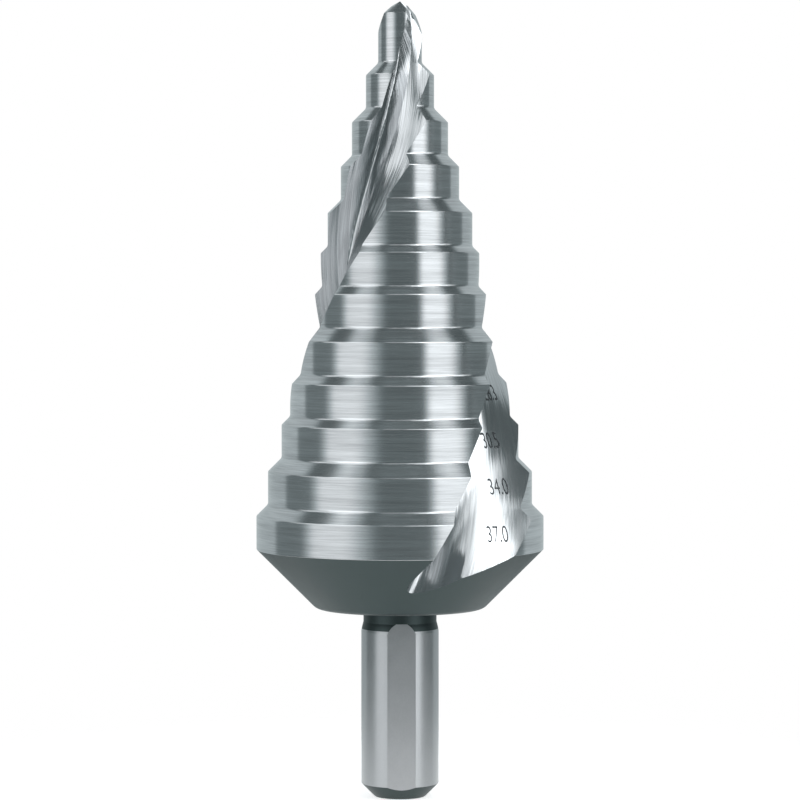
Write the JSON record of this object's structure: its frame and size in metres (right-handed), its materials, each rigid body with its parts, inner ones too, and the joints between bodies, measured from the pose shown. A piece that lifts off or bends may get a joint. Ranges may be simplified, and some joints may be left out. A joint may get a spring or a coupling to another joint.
{
  "type": "step drill",
  "caption": "Stepped cone drill in one piece of ground steel, with helical flutes, a split point, a back cone and a round shank with chuck flats.",
  "frame": {"origin": "centre of the shank's flat end face", "axes": "+Z along the drill's axis from the shank's end to the point, -Y towards the front that the picture shows"},
  "size_m": [0.037, 0.037, 0.1023],
  "materials": {
    "ground_steel": "bright ground steel, satin grey on the back cone and neck"
  },
  "bodies": {
    "root": {"step_drill": "ground_steel"}
  },
  "joints": []
}
